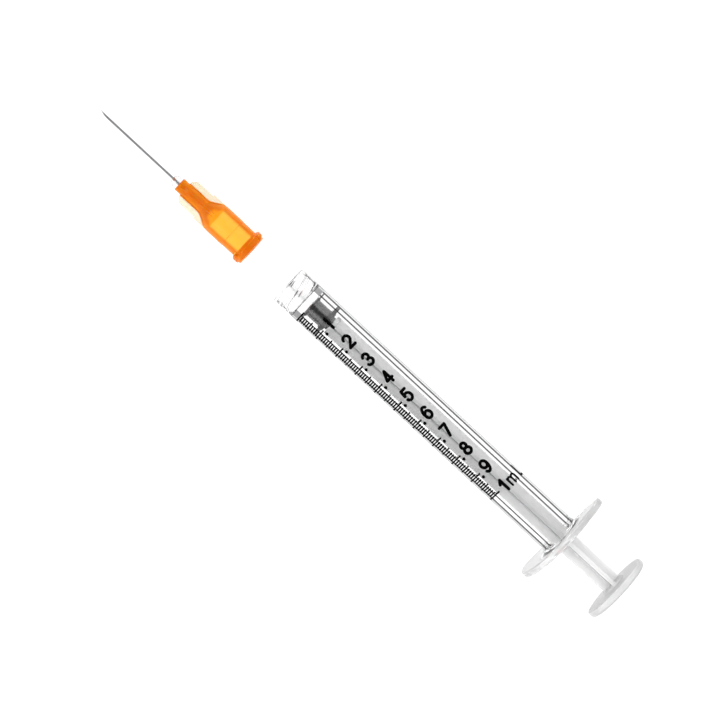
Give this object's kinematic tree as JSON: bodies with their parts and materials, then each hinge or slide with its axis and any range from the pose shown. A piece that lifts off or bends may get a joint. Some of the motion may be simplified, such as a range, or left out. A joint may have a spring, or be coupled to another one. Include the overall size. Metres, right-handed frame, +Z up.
{
  "type": "syringe with needle",
  "caption": "Graduated clear syringe with a lock collar, finger grips and a sliding plunger, and its coloured-hub needle lying in line in front of it.",
  "frame": {"origin": "on the table, under the middle of the overall length, as the syringe lies on its collar, finger grips and thumb rest", "axes": "+X along the syringe from the needle to the thumb rest, +Z up; the syringe's own axis rises about 2.1 degrees towards +X because the thumb rest is wider than the collar"},
  "size_m": [0.1482, 0.0264, 0.0157],
  "materials": {
    "barrel_clear": "clear, polished",
    "stopper_rubber": "satin",
    "rod_frosted": "frosted, translucent",
    "hub_orange": "translucent, glossy",
    "needle_steel": "fine ground",
    "adhesive_clear": "clear, glossy"
  },
  "bodies": {
    "barrel": {"barrel": "barrel_clear"},
    "stopper": {"stopper": "stopper_rubber"},
    "plunger_rod": {"plunger_rod": "rod_frosted"},
    "needle": {"needle_hub": "hub_orange", "cannula": "needle_steel", "adhesive_bead": "adhesive_clear"}
  },
  "joints": [
    {"name": "plunger_slide", "type": "slide", "parent": "barrel", "child": "stopper", "axis": [0.9993, 0, 0.0377], "range_m": [0, 0.06485]},
    {"name": "rod_turn", "type": "hinge", "parent": "stopper", "child": "plunger_rod", "pos_m": [-0.00833, 0, 0.0048], "axis": [0.9993, 0, 0.0377], "continuous": true},
    {"name": "needle_slide", "type": "slide", "parent": "barrel", "child": "needle", "axis": [0.9993, 0, 0.0377], "range_m": [0, 0.01447]}
  ]
}
